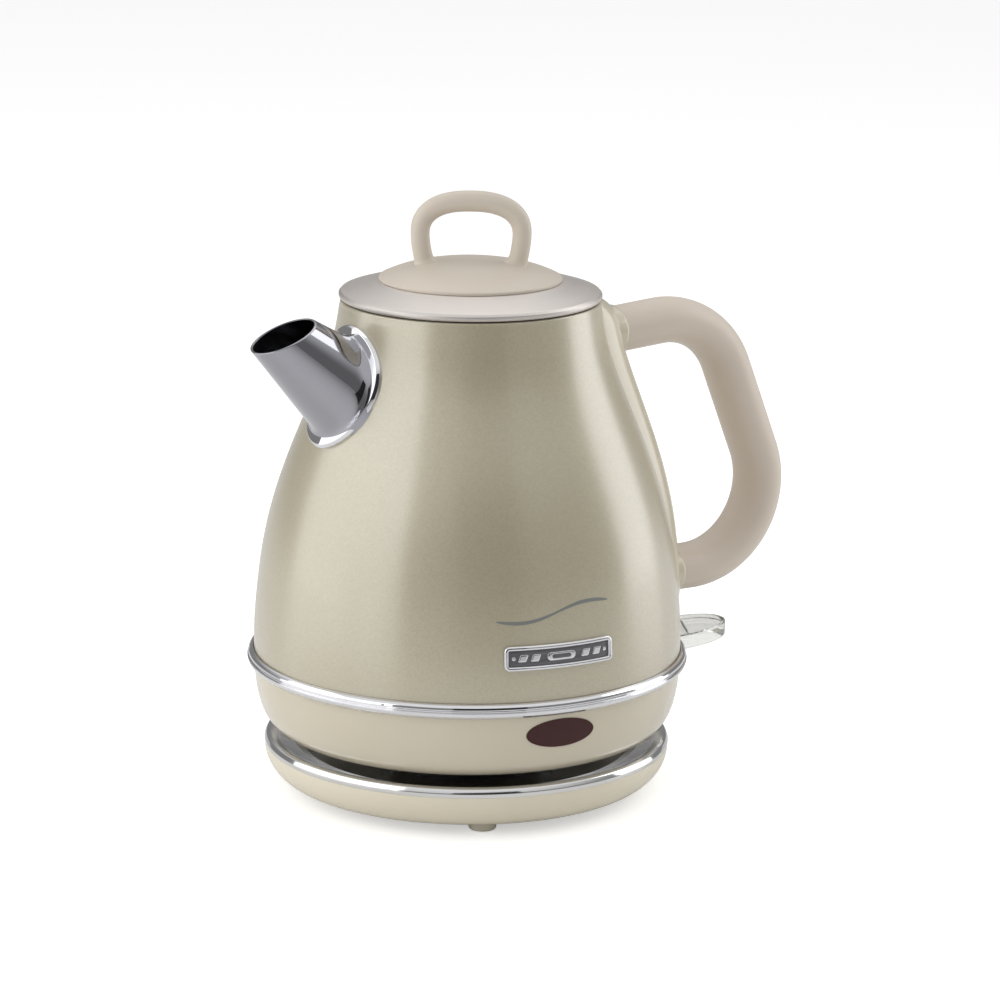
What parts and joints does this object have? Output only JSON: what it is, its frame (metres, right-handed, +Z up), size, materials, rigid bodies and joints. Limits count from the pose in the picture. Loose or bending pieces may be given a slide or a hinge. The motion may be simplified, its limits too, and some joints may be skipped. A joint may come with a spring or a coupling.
{
  "type": "electric kettle",
  "caption": "Compact bell-shaped electric kettle with an arched side handle, short cone spout, loop-handled lid, lever switch and round base.",
  "frame": {"origin": "on the kettle's axis at the table plane; the base's hub underside stands 1.2 mm above it", "axes": "+Z up along the kettle's axis, +X towards the handle, spout on -X"},
  "size_m": [0.2275, 0.1612, 0.2203],
  "materials": {
    "body_paint": "pearl enamel, satin gloss",
    "chrome": "bright chrome",
    "cream_plastic": "glossy cream",
    "grip_plastic": "soft matt beige",
    "lid_steel": "satin",
    "plate_steel": "polished",
    "inner_steel": "drawn",
    "spreader_aluminium": "plain",
    "brass": "plain",
    "dark_plastic": "plain",
    "clear_plastic": "clear, polished",
    "red_lens": "dark red, polished",
    "lamp_glass": "clear",
    "seal_rubber": "matt",
    "foot_rubber": "matt cream",
    "screw_steel": "plated"
  },
  "bodies": {
    "base": {"base_tray": "cream_plastic", "base_plate": "plate_steel", "base_hub_cover": "dark_plastic", "connector_tower": "dark_plastic", "base_live_contact": "brass", "base_neutral_contact": "brass", "base_earth_contact": "brass", "cord_gland": "seal_rubber", "cord_clamp": "dark_plastic", "foot_1": "foot_rubber", "foot_2": "foot_rubber", "foot_3": "foot_rubber", "base_screw_1": "screw_steel", "base_screw_2": "screw_steel", "base_screw_3": "screw_steel"},
    "turn_ring": {"turn_ring": "dark_plastic"},
    "kettle": {"body_shell": "body_paint", "body_trim_ring": "chrome", "lower_housing": "cream_plastic", "heating_plate": "inner_steel", "heat_spreader": "spreader_aluminium", "heating_element": "inner_steel", "kettle_socket": "dark_plastic", "kettle_earth_pin": "brass", "kettle_live_ring": "brass", "kettle_neutral_ring": "brass", "controller_body": "dark_plastic", "dry_boil_disc_1": "inner_steel", "dry_boil_disc_2": "inner_steel", "switch_frame": "dark_plastic", "lever_pin": "screw_steel", "steam_disc": "inner_steel", "steam_tube": "inner_steel", "indicator_lens": "red_lens", "lamp_holder": "dark_plastic", "indicator_lamp": "lamp_glass", "badge_frame": "chrome", "badge_plate": "dark_plastic", "spout_tube": "chrome", "spout_collar": "chrome", "filter_holder": "dark_plastic", "handle_grip": "grip_plastic", "handle_spine": "cream_plastic", "housing_screw_1": "screw_steel", "housing_screw_2": "screw_steel", "housing_screw_3": "screw_steel"},
    "lid": {"lid_cap": "lid_steel", "lid_knob": "cream_plastic", "lid_skirt": "dark_plastic", "lid_seal": "seal_rubber", "lid_inner_plate": "inner_steel", "lid_screw_1": "screw_steel", "lid_screw_2": "screw_steel"},
    "lever": {"switch_lever": "clear_plastic"},
    "trip": {"trip_link": "dark_plastic"},
    "filter": {"filter_frame": "dark_plastic", "filter_mesh": "inner_steel"}
  },
  "joints": [
    {"name": "kettle_spin", "type": "hinge", "parent": "base", "child": "turn_ring", "pos_m": [0, 0, 0], "axis": [0, 0, 1], "continuous": true},
    {"name": "kettle_lift", "type": "slide", "parent": "turn_ring", "child": "kettle", "axis": [0, 0, 1], "range_m": [0, 0.12]},
    {"name": "lid_lift", "type": "slide", "parent": "kettle", "child": "lid", "axis": [0, 0, 1], "range_m": [0, 0.06]},
    {"name": "lever_press", "type": "hinge", "parent": "kettle", "child": "lever", "pos_m": [0.07, 0, 0.04275], "axis": [0, 1, 0], "range_deg": [0, 10]},
    {"name": "trip_slide", "type": "slide", "parent": "kettle", "child": "trip", "axis": [0, 0, 1], "range_m": [0, 0.0034]},
    {"name": "filter_slide", "type": "slide", "parent": "kettle", "child": "filter", "axis": [0.9455, 0, -0.3256], "range_m": [0, 0.02]}
  ],
  "couplings": [
    {"joint": "trip_slide", "follows": "lever_press", "m_per_rad": 0.019}
  ]
}
